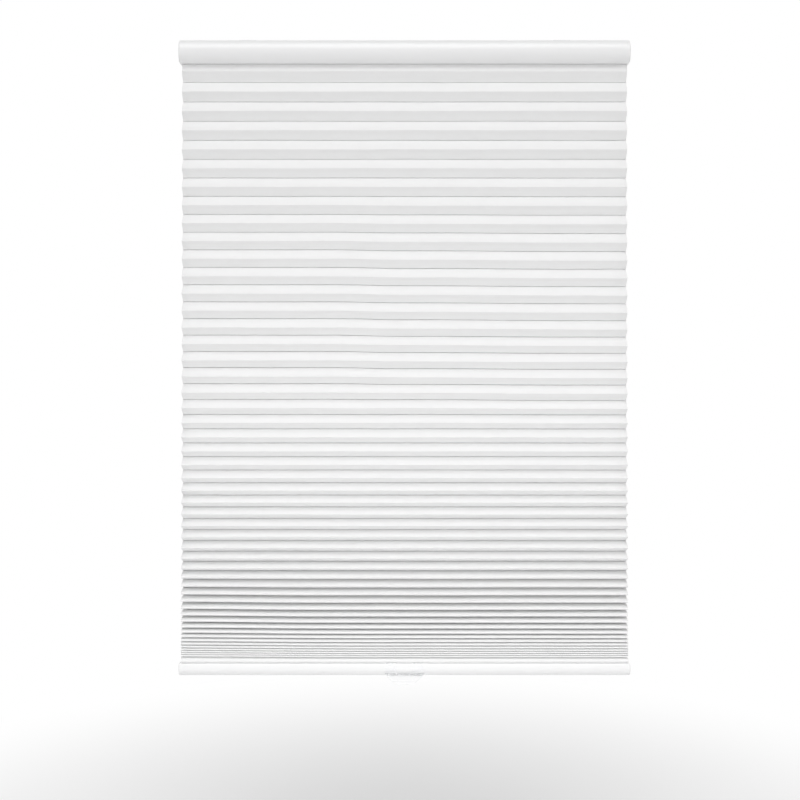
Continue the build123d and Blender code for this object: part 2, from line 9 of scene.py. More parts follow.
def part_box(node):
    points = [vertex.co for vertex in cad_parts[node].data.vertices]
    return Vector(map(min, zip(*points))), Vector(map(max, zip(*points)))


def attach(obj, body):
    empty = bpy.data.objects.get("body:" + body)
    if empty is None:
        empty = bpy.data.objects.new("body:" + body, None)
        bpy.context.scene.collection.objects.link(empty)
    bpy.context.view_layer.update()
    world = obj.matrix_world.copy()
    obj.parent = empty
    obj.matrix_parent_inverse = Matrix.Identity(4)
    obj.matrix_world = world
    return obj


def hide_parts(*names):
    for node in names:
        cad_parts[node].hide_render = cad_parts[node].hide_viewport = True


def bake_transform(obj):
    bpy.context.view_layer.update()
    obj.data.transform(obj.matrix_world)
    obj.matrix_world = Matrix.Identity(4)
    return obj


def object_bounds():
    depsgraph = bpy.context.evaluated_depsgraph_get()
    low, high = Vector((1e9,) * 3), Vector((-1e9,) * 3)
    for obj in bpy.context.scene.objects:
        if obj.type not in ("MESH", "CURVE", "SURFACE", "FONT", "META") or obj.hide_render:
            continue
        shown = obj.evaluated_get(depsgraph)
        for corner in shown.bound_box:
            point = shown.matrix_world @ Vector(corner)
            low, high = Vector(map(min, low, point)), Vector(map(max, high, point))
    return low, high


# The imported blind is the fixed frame: X along the rails, -Y to the room, Z up, in metres
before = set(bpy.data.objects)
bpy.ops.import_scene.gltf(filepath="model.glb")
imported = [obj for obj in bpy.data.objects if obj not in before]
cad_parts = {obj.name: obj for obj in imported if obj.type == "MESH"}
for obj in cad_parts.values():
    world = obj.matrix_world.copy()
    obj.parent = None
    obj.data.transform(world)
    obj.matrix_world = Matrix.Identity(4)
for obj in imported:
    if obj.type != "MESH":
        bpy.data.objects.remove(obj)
cad_low, cad_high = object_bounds()

bl_info = {
    "name": "Honeycomb blind dresser",
    "version": (1, 0, 0),
    "blender": (4, 5, 0),
    "location": "View3D > Sidebar > Blind",
    "description": "Dresses a cordless honeycomb blind with pleated fabric, cords and finishes",
    "category": "Object",
}

# Levels that the fabric hangs between
HEAD_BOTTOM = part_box("head_rail")[0].z
BOTTOM_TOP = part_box("bottom_rail")[1].z
FABRIC_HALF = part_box("fabric")[1].x

# How the cells hang: the weight of the cells below pulls each one open
CELL_COUNT = 51
PITCH_PACKED = 0.0024
PITCH_SPREAD = 0.0315
SPREAD_CELLS = 30.0
SPREAD_POWER = 1.46
FIRST_DROP = 0.0268
FOLD_SAG = 0.0012
LAST_FOLD_DROP = 0.0051
LAST_CREASE = 0.0031
LAST_GAP = 0.0002
GLUE_LAP = 0.00001

# Cell heights over which a size changes: where the change starts, and how long it takes
SAG_HEIGHTS = (0.0135, 0.009)
PULL_HEIGHTS = (0.023, 0.009)
OPEN_HEIGHTS = (0.0125, 0.006)

# Shape of a cell: shares of its height, of its glued strip or of a wing
CREASE_MOST = 0.3
GROOVE_MOST = 0.2
GROOVE_ABOVE = 0.6
GROOVE_BELOW = 1.4
SHOULDER_MOST = 0.25
UPPER_SHOULDER = 0.3
HEM_SHOULDER = 0.5
CONTACT_SHARE = 0.25
CORNER_ROOM = 0.45
BULGE_MOST = 0.03
BULGE_SKEW = 1.8
WING_SHARES = (0.2, 0.4, 0.58, 0.75, 0.9)

# Points on an arc of the outline, and the least that its inner side divides by: the cosine at a
# sharp corner, and the length of a side
ARC_POINTS = 5
UPPER_ARC_POINTS = 3
LEAST_MITER = 0.45
LEAST_LENGTH = 1e-9

# Folds that stand high or low right across: how far, at which level and over what breadth
STRAY_BUMPS = (
    (0.0017, -0.74, 0.052),
    (0.0006, -0.866, 0.02),
    (0.0018, -0.938, 0.014),
    (-0.0004, -0.903, 0.01),
    (-0.0005, -0.54, 0.05),
)

# Where the folds lean: the start and length of each change, along X or down from the mount, and
# how many times the droop the folds rise or fall there
LEFT_SIDE = (-0.11, 0.1)
LEFT_END = (0.49, 0.08)
LEFT_LIFT = 1.1
RIGHT_SIDE = (0.02, 0.24)
RIGHT_END = (0.54, 0.07)
RIGHT_DROP = 0.85
LEAN_START = (0.19, 0.16)
CORNER_SIDE = (-0.34, 0.2)
CORNER_DEPTH = (0.8, 0.06)

# The rails hold the folds straight: how fast they come free, per share of the way down
HEAD_HOLD = 40
BOTTOM_HOLD = 90

# Wander of the folds: how often it turns along X and Z and from cell to cell, how far out on a wing
# it starts, and the height of a cell that has all of it
WAVE_TURNS = (8.0, 14.0)
WAVE_ROW = 4.2
WANDER_TURNS = 6.0
WANDER_STEP = 0.73
WANDER_APART = 31.0
WANDER_START = 0.25
STEADY_HEIGHT = 0.02

# Hems round the two plastic strips, in the channels of the rails
RAIL_WALL = 0.0012
HEM_HALF = 0.01155
HEM_HEIGHT = 0.0026
NECK_HALF = 0.007

# Cells in each strip of cloth: short strips where the cells close most unevenly
STRIP_CELLS = (1, 1, 1, 1, 1, 2, 3, 8, 8, 6, 4, 3, 3, 2, 2, 2, 2, 1)

# Heights that cells keep when the blind is raised: the least, a share of their own height, more for
# those near the head rail, and all that the first and the last cell keep
RAISED_LEAST = 0.0015
RAISED_SHARE = 0.059
RAISED_FIRST = 0.004
RAISED_DECAY = 1.2
RAISED_HEM = 0.0145
RAISED_LAST = 0.0045

# Route of the right cord from its spool to its knot; the left one mirrors it
CORD_X = 0.215
CORD_SIDES = 12
KNOT_RADIUS = 0.0014
KNOT_STEPS = 36
KNOT_MIDDLE = 0.42
KNOT_SWELL = 0.3
KNOT_WAVE = 1.5
KNOT_HEIGHT = 0.55
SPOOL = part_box("spool_right")
SPOOL_X = (SPOOL[0].x + SPOOL[1].x) / 2
SPOOL_Y = (SPOOL[0].y + SPOOL[1].y) / 2
WINDING_BOTTOM = HEAD_BOTTOM + 0.0126
WIND_RADIUS = 0.0101
WIND_PITCH = 0.00105
WIND_STEPS = 16
FIRST_TURN = 0.0006
RUN_Z = HEAD_BOTTOM + 0.021
EYELET_X = 0.19075
PULLEY_BEND = 0.0129

# The stage: the back light's turn and how many times the front lights' angle it stands up, how far
# off the lights stand, the low lamp's place and the level that it aims at, and half the floor's side
BACK_TURN = math.radians(170)
BACK_RISES = 2
LAMP_AWAY = 3
FILL_LEAD = 1.2
FILL_DROP = 0.27
FILL_AIM = -0.8
FLOOR_REACH = 6.0


def smooth_share(share):
    """Share from 0 to 1 eased at both ends."""
    share = min(max(share, 0.0), 1.0)
    return share * share * (3 - 2 * share)


def eased(value, start, span):
    """How far a value is along a stretch, eased at both ends."""
    return smooth_share((value - start) / span)


def time_at(weight):
    """The share whose eased value is this weight."""
    return 0.5 - math.sin(math.asin(1 - 2 * min(max(weight, 0.0), 1.0)) / 3)


class FabricSettings(bpy.types.PropertyGroup):
    """Sizes and colours of the honeycomb fabric."""

    wing: bpy.props.FloatProperty(
        name="Wing", description="Width of one wing of a cell", default=0.0175, unit="LENGTH"
    )
    glue_half: bpy.props.FloatProperty(
        name="Glue half width",
        description="Half the width of the glued strip between two cells",
        default=0.003,
        unit="LENGTH",
    )
    thickness: bpy.props.FloatProperty(
        name="Thickness", description="Thickness of the fabric", default=0.0004, unit="LENGTH"
    )
    seam: bpy.props.FloatProperty(
        name="Seam",
        description="How far the groove at a glued strip opens",
        default=0.0009,
        unit="LENGTH",
    )
    open_seam: bpy.props.FloatProperty(
        name="Open seam",
        description="How far the groove opens where the weight of the blind pulls hardest",
        default=0.0016,
        unit="LENGTH",
    )
    shoulder: bpy.props.FloatProperty(
        name="Shoulder",
        description="Radius where a lower wing turns in to its glued strip",
        default=0.004,
        unit="LENGTH",
    )
    crease: bpy.props.FloatProperty(
        name="Crease",
        description="Radius of the fold of an open cell",
        default=0.0003,
        unit="LENGTH",
    )
    packed_crease: bpy.props.FloatProperty(
        name="Packed crease",
        description="Radius of the fold of a closed cell",
        default=0.0017,
        unit="LENGTH",
    )
    bow: bpy.props.FloatProperty(
        name="Bow", description="How far a wing bulges", default=0.0005, unit="LENGTH"
    )
    droop: bpy.props.FloatProperty(
        name="Droop",
        description="How far the folds stray up on the left and down on the right",
        default=0.0015,
        unit="LENGTH",
    )
    unevenness: bpy.props.FloatProperty(
        name="Unevenness", description="Wander of the folds", default=0.0002, unit="LENGTH"
    )
    columns: bpy.props.IntProperty(
        name="Columns", description="Divisions of the cloth across the blind", default=64
    )
    colour: bpy.props.FloatVectorProperty(
        name="Fabric",
        description="Colour of the cloth",
        default=(0.925, 0.925, 0.925),
        subtype="COLOR",
    )


class FinishSettings(bpy.types.PropertyGroup):
    """Colours of the hard parts."""

    paint: bpy.props.FloatVectorProperty(
        name="Rails",
        description="Colour of the rail paint",
        default=(0.91, 0.91, 0.913),
        subtype="COLOR",
    )
    cap: bpy.props.FloatVectorProperty(
        name="Caps",
        description="Colour of the end caps",
        default=(0.93, 0.93, 0.93),
        subtype="COLOR",
    )
    clear: bpy.props.FloatVectorProperty(
        name="Handle",
        description="Tint of the clear handle",
        default=(0.98, 0.982, 0.984),
        subtype="COLOR",
    )
    housing: bpy.props.FloatVectorProperty(
        name="Lift unit",
        description="Colour of the lift unit's mouldings",
        default=(0.74, 0.74, 0.71),
        subtype="COLOR",
    )
    strip: bpy.props.FloatVectorProperty(
        name="Strips",
        description="Colour of the strips that hold the fabric",
        default=(0.8, 0.8, 0.77),
        subtype="COLOR",
    )
    gear: bpy.props.FloatVectorProperty(
        name="Gears",
        description="Colour of the gears and drums",
        default=(0.8, 0.78, 0.72),
        subtype="COLOR",
    )
    steel: bpy.props.FloatVectorProperty(
        name="Steel",
        description="Colour of the plated steel",
        default=(0.6, 0.61, 0.62),
        subtype="COLOR",
    )
    spring: bpy.props.FloatVectorProperty(
        name="Spring",
        description="Colour of the spring strip",
        default=(0.42, 0.43, 0.45),
        subtype="COLOR",
    )


class CordSettings(bpy.types.PropertyGroup):
    """Sizes and colour of the lift cords."""

    radius: bpy.props.FloatProperty(
        name="Radius",
        description="Half the thickness of a lift cord",
        default=0.0005,
        unit="LENGTH",
    )
    colour: bpy.props.FloatVectorProperty(
        name="Cord",
        description="Colour of the lift cords",
        default=(0.85, 0.85, 0.82),
        subtype="COLOR",
    )


class StageSettings(bpy.types.PropertyGroup):
    """Camera, lamps and floor."""

    distance: bpy.props.FloatProperty(
        name="Distance", description="From the camera to the blind", default=1.7, unit="LENGTH"
    )
    height: bpy.props.FloatProperty(
        name="Camera height", description="Height of the camera", default=-0.4855, unit="LENGTH"
    )
    lens: bpy.props.FloatProperty(
        name="Lens", description="Focal length in millimetres", default=49.81
    )
    shift: bpy.props.FloatVectorProperty(
        name="Shift",
        description="Camera shift, in frame widths",
        default=(-0.00565, -0.0524),
        size=2,
    )
    key: bpy.props.FloatProperty(
        name="Key", description="Strength of each of the two front lights", default=0.67
    )
    key_turn: bpy.props.FloatProperty(
        name="Key turn",
        description="How far to each side the front lights stand",
        default=math.radians(50),
        subtype="ANGLE",
    )
    key_rise: bpy.props.FloatProperty(
        name="Key angle",
        description="How high the front lights stand",
        default=math.radians(13),
        subtype="ANGLE",
    )
    high: bpy.props.FloatProperty(name="High", description="Strength of the high light", default=1.09)
    high_rise: bpy.props.FloatProperty(
        name="High angle",
        description="How high the high light stands",
        default=math.radians(57),
        subtype="ANGLE",
    )
    spread: bpy.props.FloatProperty(
        name="Spread",
        description="How broad each light is",
        default=math.radians(37),
        subtype="ANGLE",
    )
    back: bpy.props.FloatProperty(
        name="Back", description="Strength of the light on the window side", default=0.7
    )
    fill_power: bpy.props.FloatProperty(
        name="Fill", description="Power of the low lamp in front", default=5.6, unit="POWER"
    )
    fill_size: bpy.props.FloatProperty(
        name="Fill size", description="Width of the low lamp", default=0.8, unit="LENGTH"
    )
    ambient: bpy.props.FloatProperty(
        name="Ambient", description="Strength of the light from all round", default=0.2
    )
    floor_drop: bpy.props.FloatProperty(
        name="Floor", description="Room between the blind and the floor", default=0.35, unit="LENGTH"
    )


class Shade:
    """One output of a node. Sums on it add Math nodes."""

    def __init__(self, finish, socket):
        self.finish = finish
        self.socket = socket

    def sum(self, operation, first, second):
        made = self.finish.node("ShaderNodeMath", {"operation": operation}, {0: first, 1: second})
        return Shade(self.finish, made.outputs[0])

    def __add__(self, other):
        return self.sum("ADD", self, other)

    def __radd__(self, other):
        return self.sum("ADD", other, self)

    def __sub__(self, other):
        return self.sum("SUBTRACT", self, other)

    def __rsub__(self, other):
        return self.sum("SUBTRACT", other, self)

    def __mul__(self, other):
        return self.sum("MULTIPLY", self, other)

    def __rmul__(self, other):
        return self.sum("MULTIPLY", other, self)

    def __pow__(self, other):
        return self.sum("POWER", self, other)

    def sine(self):
        return self.sum("SINE", self, 0.0)

    def most(self, other):
        return self.sum("MAXIMUM", self, other)


class Finish:
    """A material, or the world, made node by node."""

    def __init__(self, owner):
        owner.use_nodes = True
        self.tree = owner.node_tree
        self.tree.nodes.clear()

    def node(self, kind, settings=None, sockets=None):
        """Adds a node: its settings first, then the value or link of each socket."""
        made = self.tree.nodes.new(kind)
        for name, value in (settings or {}).items():
            setattr(made, name, value)
        for name, value in (sockets or {}).items():
            if isinstance(value, Shade):
                self.tree.links.new(value.socket, made.inputs[name])
            else:
                made.inputs[name].default_value = value
        return made

    def shade(self, kind, output, settings=None, sockets=None):
        """Adds a node and gives one of its outputs."""
        return Shade(self, self.node(kind, settings, sockets).outputs[output])

    def place(self, stretch=(1.0, 1.0, 1.0)):
        """Position on the object, stretched along each axis."""
        spot = self.shade("ShaderNodeTexCoord", "Object")
        return self.shade("ShaderNodeMapping", "Vector", None, {"Vector": spot, "Scale": stretch})

    def grain(self, scale, stretch=(1.0, 1.0, 1.0), detail=2.0, distortion=0.0):
        """Soft random grain around 0.5; scale is in grains per metre."""
        sockets = {
            "Vector": self.place(stretch),
            "Scale": scale,
            "Detail": detail,
            "Distortion": distortion,
        }
        return self.shade("ShaderNodeTexNoise", "Fac", None, sockets)

    def tint(self, colour, low, high, factor):
        """Colour between two strengths of itself."""
        sockets = {
            0: factor,
            6: tuple(part * low for part in colour) + (1.0,),
            7: tuple(part * high for part in colour) + (1.0,),
        }
        return self.shade("ShaderNodeMix", 2, {"data_type": "RGBA"}, sockets)

    def relief(self, height, depth, strength=1.0):
        """Normal bent by a height that is depth metres from 0 to 1."""
        sockets = {"Height": height, "Distance": depth, "Strength": strength}
        return self.shade("ShaderNodeBump", "Normal", None, sockets)

    def surface(self, sockets):
        """Ends the material in one shader with these sockets."""
        shader = self.shade("ShaderNodeBsdfPrincipled", "BSDF", None, sockets)
        self.node("ShaderNodeOutputMaterial", None, {"Surface": shader})


def new_finish(name):
    """An empty material and its Finish."""
    material = bpy.data.materials.new(name)
    return material, Finish(material)


def cloth_finish(colour):
    """Spunbond polyester: matt, with fine crossed fibres and faint cloudy patches."""
    material, finish = new_finish("honeycomb_cloth")
    clouds = finish.grain(scale=55.0, stretch=(1.0, 2.0, 2.6), detail=3.0)
    fibres = finish.grain(scale=900.0, stretch=(0.35, 1.0, 1.0), detail=4.0, distortion=1.6)
    cross_fibres = finish.grain(scale=1100.0, stretch=(1.0, 1.0, 0.3), detail=3.0, distortion=1.2)
    weave = fibres * 0.55 + cross_fibres * 0.45
    tone = clouds * 0.45 + weave * 0.55
    finish.surface(
        {
            "Base Color": finish.tint(colour, low=0.955, high=1.03, factor=tone),
            "Roughness": 0.86,
            "Specular IOR Level": 0.3,
            "Sheen Weight": 0.05,
            "Normal": finish.relief(weave, depth=0.00012, strength=0.55),
        }
    )
    return material


def paint_finish(colour):
    """Satin powder coat on an extrusion: faint orange peel and long die lines."""
    material, finish = new_finish("rail_paint")
    peel = finish.grain(scale=620.0)
    lines = finish.grain(scale=420.0, stretch=(0.004, 1.0, 1.0))
    finish.surface(
        {
            "Base Color": finish.tint(colour, low=0.985, high=1.01, factor=lines),
            "Roughness": peel * 0.1 + 0.32,
            "Coat Weight": 0.4,
            "Coat Roughness": 0.27,
            "Normal": finish.relief(peel * 0.7 + lines * 0.3, depth=0.00004, strength=0.4),
        }
    )
    return material


def moulded_finish(name, colour, roughness, grain_depth):
    """Moulded plastic with a fine spark-eroded grain and slight flow marks."""
    material, finish = new_finish(name)
    grain = finish.grain(scale=1500.0, detail=3.0)
    flow = finish.grain(scale=40.0, distortion=0.6)
    tone = flow * 0.7 + grain * 0.3
    finish.surface(
        {
            "Base Color": finish.tint(colour, low=0.96, high=1.02, factor=tone),
            "Roughness": grain * 0.16 + (roughness - 0.08),
            "Normal": finish.relief(grain, depth=grain_depth, strength=0.5),
        }
    )
    return material


def clear_finish(colour):
    """Clear moulded plastic: mostly seen straight through, with grip ridges and handling marks."""
    material, finish = new_finish("clear_handle")
    marks = finish.grain(scale=260.0, stretch=(1.0, 1.0, 0.2), detail=4.0, distortion=0.8)
    settings = {"wave_type": "BANDS", "bands_direction": "Z"}
    ridge_sockets = {"Vector": finish.place(), "Scale": 65.0}
    ridges = finish.shade("ShaderNodeTexWave", "Fac", settings, ridge_sockets)
    glass = finish.shade(
        "ShaderNodeBsdfPrincipled",
        "BSDF",
        None,
        {
            "Base Color": finish.tint(colour, low=0.98, high=1.0, factor=marks),
            "Roughness": marks * 0.1 + 0.03,
            "IOR": 1.49,
            "Transmission Weight": 1.0,
            "Normal": finish.relief(marks * 0.1 + ridges, depth=0.0003, strength=0.4),
        },
    )
    clear_sockets = {"Color": (0.985, 0.986, 0.988, 1.0)}
    clear = finish.shade("ShaderNodeBsdfTransparent", "BSDF", None, clear_sockets)
    glass_share = 0.33
    body = finish.shade("ShaderNodeMixShader", 0, None, {0: glass_share, 1: clear, 2: glass})
    finish.node("ShaderNodeOutputMaterial", None, {"Surface": body})
    return material


def plated_finish(colour):
    """Zinc plated steel: cloudy spangle with fine rolling lines."""
    material, finish = new_finish("zinc_plate")
    spangle_sockets = {"Vector": finish.place(), "Scale": 180.0}
    spangle = finish.shade("ShaderNodeTexVoronoi", "Distance", None, spangle_sockets)
    rolling = finish.grain(scale=700.0, stretch=(0.05, 1.0, 1.0))
    tone = spangle * 0.6 + rolling * 0.4
    finish.surface(
        {
            "Base Color": finish.tint(colour, low=0.86, high=1.08, factor=tone),
            "Metallic": 0.95,
            "Roughness": spangle * 0.18 + 0.27,
            "Normal": finish.relief(rolling, depth=0.00003, strength=0.4),
        }
    )
    return material


def spring_finish(colour):
    """Spring steel strip, seen edge on as fine turns round each drum."""
    material, finish = new_finish("spring_strip")
    ring_turns = 16000.0
    ring_fade = 66.0
    turns = None
    for node in ("output_drum", "storage_drum"):
        low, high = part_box(node)
        middle = ((low.x + high.x) / 2, (low.y + high.y) / 2, 0.0)
        sockets = {0: finish.place((1.0, 1.0, 0.0)), 1: middle}
        reach = finish.shade("ShaderNodeVectorMath", "Value", {"operation": "DISTANCE"}, sockets)
        rings = (reach * ring_turns).sine()
        near = 1.0 - (reach * ring_fade) ** 8.0
        rings = rings * near.most(0.0)
        turns = rings if turns is None else turns + rings
    streaks = finish.grain(scale=800.0, stretch=(0.1, 1.0, 0.1))
    tone = turns * 0.3 + streaks * 0.5
    finish.surface(
        {
            "Base Color": finish.tint(colour, low=0.8, high=1.1, factor=tone),
            "Metallic": 0.95,
            "Roughness": streaks * 0.15 + 0.2,
            "Normal": finish.relief(turns, depth=0.00008, strength=0.6),
        }
    )
    return material


def cord_finish(colour):
    """Braided polyester cord with crossed strands."""
    material, finish = new_finish("braided_cord")
    twist = None
    for lean in (1.0, -1.0):
        sockets = {"Vector": finish.place((lean, lean, 1.0)), "Scale": 420.0, "Distortion": 0.4}
        settings = {"wave_type": "BANDS", "bands_direction": "DIAGONAL"}
        strands = finish.shade("ShaderNodeTexWave", "Fac", settings, sockets)
        twist = strands if twist is None else twist.most(strands)
    finish.surface(
        {
            "Base Color": finish.tint(colour, low=0.85, high=1.03, factor=twist),
            "Roughness": 0.75,
            "Normal": finish.relief(twist, depth=0.0001, strength=0.7),
        }
    )
    return material


def seen_rays(finish):
    """1 for rays that show the background: to the camera, in a reflection or through glass."""
    path = finish.node("ShaderNodeLightPath")
    seen = Shade(finish, path.outputs["Is Camera Ray"])
    seen = seen.most(Shade(finish, path.outputs["Is Glossy Ray"]))
    return seen.most(Shade(finish, path.outputs["Is Transmission Ray"]))


def floor_finish():
    """Pale matt floor that reads as white and keeps the blind's soft shadow."""
    material, finish = new_finish("pale_floor")
    clouds = finish.grain(scale=3.0, detail=3.0)
    diffuse_sockets = {"Color": finish.tint((0.8, 0.8, 0.8), low=0.98, high=1.02, factor=clouds)}
    diffuse = finish.shade("ShaderNodeBsdfDiffuse", "BSDF", None, diffuse_sockets)
    glow_sockets = {"Color": (1.0, 1.0, 1.0, 1.0), "Strength": 1.0}
    glow = finish.shade("ShaderNodeEmission", "Emission", None, glow_sockets)
    reach_sockets = {0: finish.place()}
    reach = finish.shade("ShaderNodeVectorMath", "Value", {"operation": "LENGTH"}, reach_sockets)
    settings = {"interpolation_type": "SMOOTHSTEP"}
    spread = {"Value": reach, "From Min": 1.33, "From Max": 1.85, "To Min": 0.5, "To Max": 1.0}
    fade = finish.shade("ShaderNodeMapRange", "Result", settings, spread)
    factor = seen_rays(finish) * fade
    both = finish.shade("ShaderNodeMixShader", 0, None, {0: factor, 1: diffuse, 2: glow})
    finish.node("ShaderNodeOutputMaterial", None, {"Surface": both})
    return material


def world_finish(world, ambient):
    """Even soft light, in front of a white background."""
    finish = Finish(world)
    strength = seen_rays(finish) * (1.0 - ambient) + ambient
    sockets = {"Color": (1.0, 1.0, 1.0, 1.0), "Strength": strength}
    light = finish.shade("ShaderNodeBackground", "Background", None, sockets)
    finish.node("ShaderNodeOutputWorld", None, {"Surface": light})


def dress(nodes, material):
    """Gives CAD nodes a finish."""
    for name in nodes:
        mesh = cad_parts[name].data
        mesh.materials.clear()
        mesh.materials.append(material)


def new_piece(name, mesh, material, sharp=math.radians(30)):
    """Links a mesh as a piece with smooth faces and crisp creases."""
    mesh.materials.append(material)
    mesh.polygons.foreach_set("use_smooth", [True] * len(mesh.polygons))
    mesh.set_sharp_from_angle(angle=sharp)
    piece = bpy.data.objects.new(name, mesh)
    bpy.context.scene.collection.objects.link(piece)
    return piece


def cell_levels():
    """Glue levels from the head rail down, with both rails at the ends."""
    levels = [HEAD_BOTTOM, HEAD_BOTTOM - FIRST_DROP]
    for below in range(CELL_COUNT - 2, 0, -1):
        opening = 1 - math.exp(-((below / SPREAD_CELLS) ** SPREAD_POWER))
        levels.append(levels[-1] - PITCH_PACKED - PITCH_SPREAD * opening)
    levels.append(BOTTOM_TOP)
    return levels


def travel_weights(levels):
    """Share of the bottom rail's travel at each glue level, so that raised cells stack evenly."""
    heights = [upper - lower for upper, lower in zip(levels, levels[1:])]
    raised = [RAISED_HEM]
    for index, height in enumerate(heights[1:-1]):
        first_room = RAISED_FIRST * math.exp(-index / RAISED_DECAY)
        raised.append(RAISED_LEAST + RAISED_SHARE * height + first_room)
    raised.append(RAISED_LAST)
    closing = np.maximum(np.subtract(heights, raised), 0.0)
    return np.concatenate([[0.0], np.cumsum(closing) / closing.sum()])


def fold_reach(settings, height):
    """How far a fold stands from the middle plane, for a cell of this height."""
    return settings.glue_half + math.sqrt(settings.wing**2 - (height / 2) ** 2)


def bend(before, corner, after, radius, steps):
    """Points of an arc that rounds a corner, as far as its sides allow."""
    arrive = (corner - before).normalized()
    leave = (after - corner).normalized()
    turn = arrive.angle(leave)
    room = CORNER_ROOM * min((corner - before).length, (after - corner).length)
    length = min(radius * math.tan(turn / 2), room)
    start = corner - arrive * length
    end = corner + leave * length
    return [
        start.lerp(corner, share).lerp(corner.lerp(end, share), share)
        for share in (step / (steps - 1) for step in range(steps))
    ]


def crease_radius(settings, height):
    """Radius of the fold of a cell of this height."""
    closed = 1 - eased(height, *OPEN_HEIGHTS)
    radius = settings.crease + (settings.packed_crease - settings.crease) * closed
    return min(radius, CREASE_MOST * height)


def fold_arc(settings, reach, fold, top, low, radius):
    """Rounded crest of a fold, from the upper wing's end to the lower wing's start."""
    centre = Vector((reach - radius, fold))
    ends = []
    for level, side in ((top, 1), (low, -1)):
        away = Vector((settings.glue_half, level)) - centre
        lean = math.acos(min(radius / away.length, 1.0))
        ends.append(math.atan2(away.y, away.x) - side * lean)
    last = ARC_POINTS - 1
    angles = [ends[0] + (ends[1] - ends[0]) * step / last for step in range(ARC_POINTS)]
    return [centre + radius * Vector((math.cos(angle), math.sin(angle))) for angle in angles]


def bulged(start, end, bow, out):
    """Inner points of a wing that bulges out, most of all near its fold."""
    side = end - start
    normal = Vector((-side.y, side.x)).normalized() * out
    bulge = min(bow, BULGE_MOST * side.length)
    return [
        start + side * share + normal * bulge * math.sin(math.pi * share**BULGE_SKEW)
        for share in WING_SHARES
    ]


def cell_outline(settings, top, low):
    """Outline of a hanging cell, from the seam above it round the back fold and the front one."""
    height = top - low
    reach = fold_reach(settings, height)
    fold = (top + low) / 2 - FOLD_SAG * eased(height, *SAG_HEIGHTS)
    pulled = eased(height, *PULL_HEIGHTS)
    opening = settings.seam + (settings.open_seam - settings.seam) * pulled
    gap = min(opening, GROOVE_MOST * height) / 2
    contact = CONTACT_SHARE * settings.glue_half
    seam_high = Vector((contact, top + GLUE_LAP))
    lip_high = Vector((settings.glue_half, top - GROOVE_ABOVE * gap))
    lip_low = Vector((settings.glue_half, low + GROOVE_BELOW * gap))
    seam_low = Vector((contact, low - GLUE_LAP))
    radius = crease_radius(settings, height)
    crest = fold_arc(settings, reach, fold, lip_high.y, lip_low.y, radius)
    round_low = min(settings.shoulder, SHOULDER_MOST * height)
    round_high = UPPER_SHOULDER * round_low
    side = [seam_high] + bend(seam_high, lip_high, crest[0], round_high, UPPER_ARC_POINTS)
    side += bulged(side[-1], crest[0], settings.bow, 1)
    side += crest
    shoulder = bend(crest[-1], lip_low, seam_low, round_low, ARC_POINTS)
    side += reversed(bulged(shoulder[0], crest[-1], settings.bow, -1))
    side += shoulder + [seam_low]
    return side + [Vector((-point.x, point.y)) for point in reversed(side)]


def hem_outline(settings, strip_z, out_z, neck_z, fold_z, reach, glue_z, radius):
    """Outline of the cell at a rail: the hem round its strip, the neck, the fold and the seam."""
    neck = Vector((NECK_HALF, neck_z))
    seam = Vector((settings.glue_half, glue_z))
    up = glue_z < neck_z
    contact_z = glue_z - GLUE_LAP if up else glue_z + GLUE_LAP
    contact = Vector((CONTACT_SHARE * settings.glue_half, contact_z))
    crest = fold_arc(settings, reach, fold_z, max(neck_z, glue_z), min(neck_z, glue_z), radius)
    if not up:
        crest.reverse()
    hem = [Vector((HEM_HALF / 2, out_z)), Vector((HEM_HALF, out_z)), Vector((HEM_HALF, strip_z))]
    side = hem + [Vector((NECK_HALF, strip_z)), neck]
    side += bulged(neck, crest[0], settings.bow, 1 if up else -1)
    side += crest
    rounding = HEM_SHOULDER * settings.shoulder if up else settings.crease
    shoulder = bend(crest[-1], seam, contact, rounding, ARC_POINTS)
    side += reversed(bulged(shoulder[0], crest[-1], settings.bow, -1 if up else 1))
    side += shoulder + [contact]
    return side + [Vector((-point.x, point.y)) for point in reversed(side)]


def unit_rows(rows):
    """Each row as a direction of length 1."""
    return rows / np.maximum(np.linalg.norm(rows, axis=1, keepdims=True), LEAST_LENGTH)


def inner_outline(outline, thickness):
    """Outline one cloth thickness further in."""
    points = np.array([tuple(point) for point in outline])
    after = np.roll(points, -1, axis=0)
    along = unit_rows(after - points)
    normal = np.stack([-along[:, 1], along[:, 0]], axis=1)
    area = np.sum(points[:, 0] * after[:, 1] - after[:, 0] * points[:, 1])
    inward = normal if area > 0 else -normal
    mean = unit_rows(inward + np.roll(inward, 1, axis=0))
    miter = np.maximum(np.sum(mean * inward, axis=1, keepdims=True), LEAST_MITER)
    return points + mean * thickness / miter


def bump(z, centre, width):
    """Smooth bump of height 1 round a level."""
    return math.exp(-(((z - centre) / width) ** 2))


def stray(settings, x, z):
    """How far the folds stand above their even place, at X and height z."""
    share = (HEAD_BOTTOM - z) / (HEAD_BOTTOM - BOTTOM_TOP)
    hold = min(1.0, HEAD_HOLD * max(share, 0.0), BOTTOM_HOLD * max(1 - share, 0.0))
    lift = sum(height * bump(z, level, breadth) for height, level, breadth in STRAY_BUMPS)
    start = eased(-z, *LEAN_START)
    left_high = (1 - eased(x, *LEFT_SIDE)) * start * (1 - eased(-z, *LEFT_END))
    right_low = eased(x, *RIGHT_SIDE) * start * (1 - eased(-z, *RIGHT_END))
    corner = eased(-z, *CORNER_DEPTH) * (1 - eased(x, *CORNER_SIDE))
    lift += settings.droop * (LEFT_LIFT * left_high - RIGHT_DROP * right_low + corner)
    wave = noise.noise(Vector((x * WAVE_TURNS[0], z * WAVE_TURNS[1], WAVE_ROW)))
    return hold * (lift + settings.unevenness * wave)


